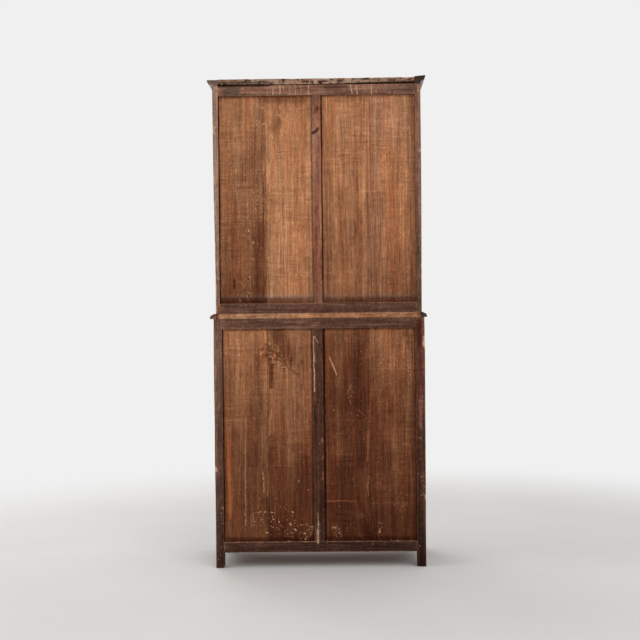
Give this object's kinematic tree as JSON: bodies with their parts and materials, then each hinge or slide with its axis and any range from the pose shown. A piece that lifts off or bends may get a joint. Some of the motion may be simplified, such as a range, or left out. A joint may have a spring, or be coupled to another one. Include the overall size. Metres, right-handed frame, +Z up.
{
  "type": "two-part cupboard",
  "caption": "Tall frame-and-panel cupboard in two stacked cases, each with a pair of panelled doors that swing, locks with keys, slide bolts and shelves; the upper case lifts off.",
  "frame": {"origin": "on the floor under the middle of the whole cupboard", "axes": "+Z up, +Y towards the back, +X to the right of someone facing the doors"},
  "size_m": [0.948, 0.471, 2.127],
  "materials": {
    "back_frame": "old stain, worn and dusty",
    "back_panel": "rough sawn, unfinished, darkened with age",
    "case_wood": "old shellac outside, bare inside",
    "moulding_wood": "old shellac",
    "raw_wood": "planed, unfinished",
    "peg_wood": "cut flush, unfinished",
    "door_frame": "old shellac outside, bare inside",
    "door_panel": "old shellac outside, bare inside",
    "iron": "forged, dark with age",
    "lock_iron": "dark iron case, with the escutcheon in worn brass"
  },
  "bodies": {
    "base": {"base_post_front_left": "case_wood", "base_post_front_right": "case_wood", "base_post_rear_left": "case_wood", "base_post_rear_right": "case_wood", "base_back_rail_bottom": "back_frame", "base_back_rail_top": "back_frame", "base_back_muntin": "back_frame", "base_back_panel_left": "back_panel", "base_back_panel_right": "back_panel", "base_side_rails": "case_wood", "base_side_panels": "case_wood", "base_apron": "case_wood", "base_front_rail": "case_wood", "base_floor": "raw_wood", "base_shelf": "raw_wood", "base_cleats": "raw_wood", "base_top": "raw_wood", "waist_moulding": "moulding_wood", "base_pegs": "peg_wood", "locating_dowels": "peg_wood", "base_case_hinge_halves": "iron"},
    "upper_case": {"upper_post_front_left": "case_wood", "upper_post_front_right": "case_wood", "upper_stile_rear_left": "case_wood", "upper_stile_rear_right": "case_wood", "upper_back_rail_bottom": "back_frame", "upper_back_rail_top": "back_frame", "upper_back_muntin": "back_frame", "upper_back_panel_left": "back_panel", "upper_back_panel_right": "back_panel", "upper_side_rails": "case_wood", "upper_side_panels": "case_wood", "upper_front_rails": "case_wood", "upper_floor": "raw_wood", "upper_shelves": "raw_wood", "upper_cleats": "raw_wood", "upper_top": "raw_wood", "cornice": "moulding_wood", "upper_pegs": "peg_wood", "upper_case_hinge_halves": "iron"},
    "base_door_left": {"base_door_left_frame": "door_frame", "base_door_left_panels": "door_panel", "base_door_left_ironwork": "iron"},
    "base_door_right": {"base_door_right_frame": "door_frame", "base_door_right_panels": "door_panel", "base_door_right_hinge_leaves": "iron", "base_lock_and_escutcheon": "lock_iron"},
    "base_lock_bolt": {"base_lock_bolt": "iron"},
    "base_key": {"base_key": "iron"},
    "base_slide_bolt": {"base_slide_bolt": "iron"},
    "upper_door_left": {"upper_door_left_frame": "door_frame", "upper_door_left_panels": "door_panel", "upper_door_left_ironwork": "iron"},
    "upper_door_right": {"upper_door_right_frame": "door_frame", "upper_door_right_panels": "door_panel", "upper_door_right_hinge_leaves": "iron", "upper_lock_and_escutcheon": "lock_iron"},
    "upper_lock_bolt": {"upper_lock_bolt": "iron"},
    "upper_key": {"upper_key": "iron"},
    "upper_slide_bolt": {"upper_slide_bolt": "iron"}
  },
  "joints": [
    {"name": "upper_case_lift", "type": "slide", "parent": "base", "child": "upper_case", "axis": [0, 0, 1], "range_m": [0, 0.1]},
    {"name": "base_door_left_swing", "type": "hinge", "parent": "base", "child": "base_door_left", "pos_m": [-0.41825, -0.21, 0.578], "axis": [0, 0, -1], "range_deg": [0, 165]},
    {"name": "base_door_right_swing", "type": "hinge", "parent": "base", "child": "base_door_right", "pos_m": [0.41825, -0.21, 0.578], "axis": [0, 0, 1], "range_deg": [0, 165]},
    {"name": "base_key_turn", "type": "hinge", "parent": "base_door_right", "child": "base_key", "pos_m": [0.0325, -0.2045, 0.578], "axis": [0, -1, 0], "range_deg": [0, 360]},
    {"name": "base_lock_bolt_throw", "type": "slide", "parent": "base_door_right", "child": "base_lock_bolt", "axis": [-1, 0, 0], "range_m": [0, 0.012]},
    {"name": "base_slide_bolt_travel", "type": "slide", "parent": "base_door_left", "child": "base_slide_bolt", "axis": [0, 0, 1], "range_m": [0, 0.014]},
    {"name": "upper_door_left_swing", "type": "hinge", "parent": "upper_case", "child": "upper_door_left", "pos_m": [-0.40925, -0.201, 1.5915], "axis": [0, 0, -1], "range_deg": [0, 165]},
    {"name": "upper_door_right_swing", "type": "hinge", "parent": "upper_case", "child": "upper_door_right", "pos_m": [0.40925, -0.201, 1.5915], "axis": [0, 0, 1], "range_deg": [0, 165]},
    {"name": "upper_key_turn", "type": "hinge", "parent": "upper_door_right", "child": "upper_key", "pos_m": [0.0325, -0.1955, 1.5915], "axis": [0, -1, 0], "range_deg": [0, 360]},
    {"name": "upper_lock_bolt_throw", "type": "slide", "parent": "upper_door_right", "child": "upper_lock_bolt", "axis": [-1, 0, 0], "range_m": [0, 0.012]},
    {"name": "upper_slide_bolt_travel", "type": "slide", "parent": "upper_door_left", "child": "upper_slide_bolt", "axis": [0, 0, 1], "range_m": [0, 0.014]}
  ],
  "couplings": [
    {"joint": "base_key_turn", "follows": "base_lock_bolt_throw", "rad_per_m": 523.6},
    {"joint": "upper_key_turn", "follows": "upper_lock_bolt_throw", "rad_per_m": 523.6}
  ]
}
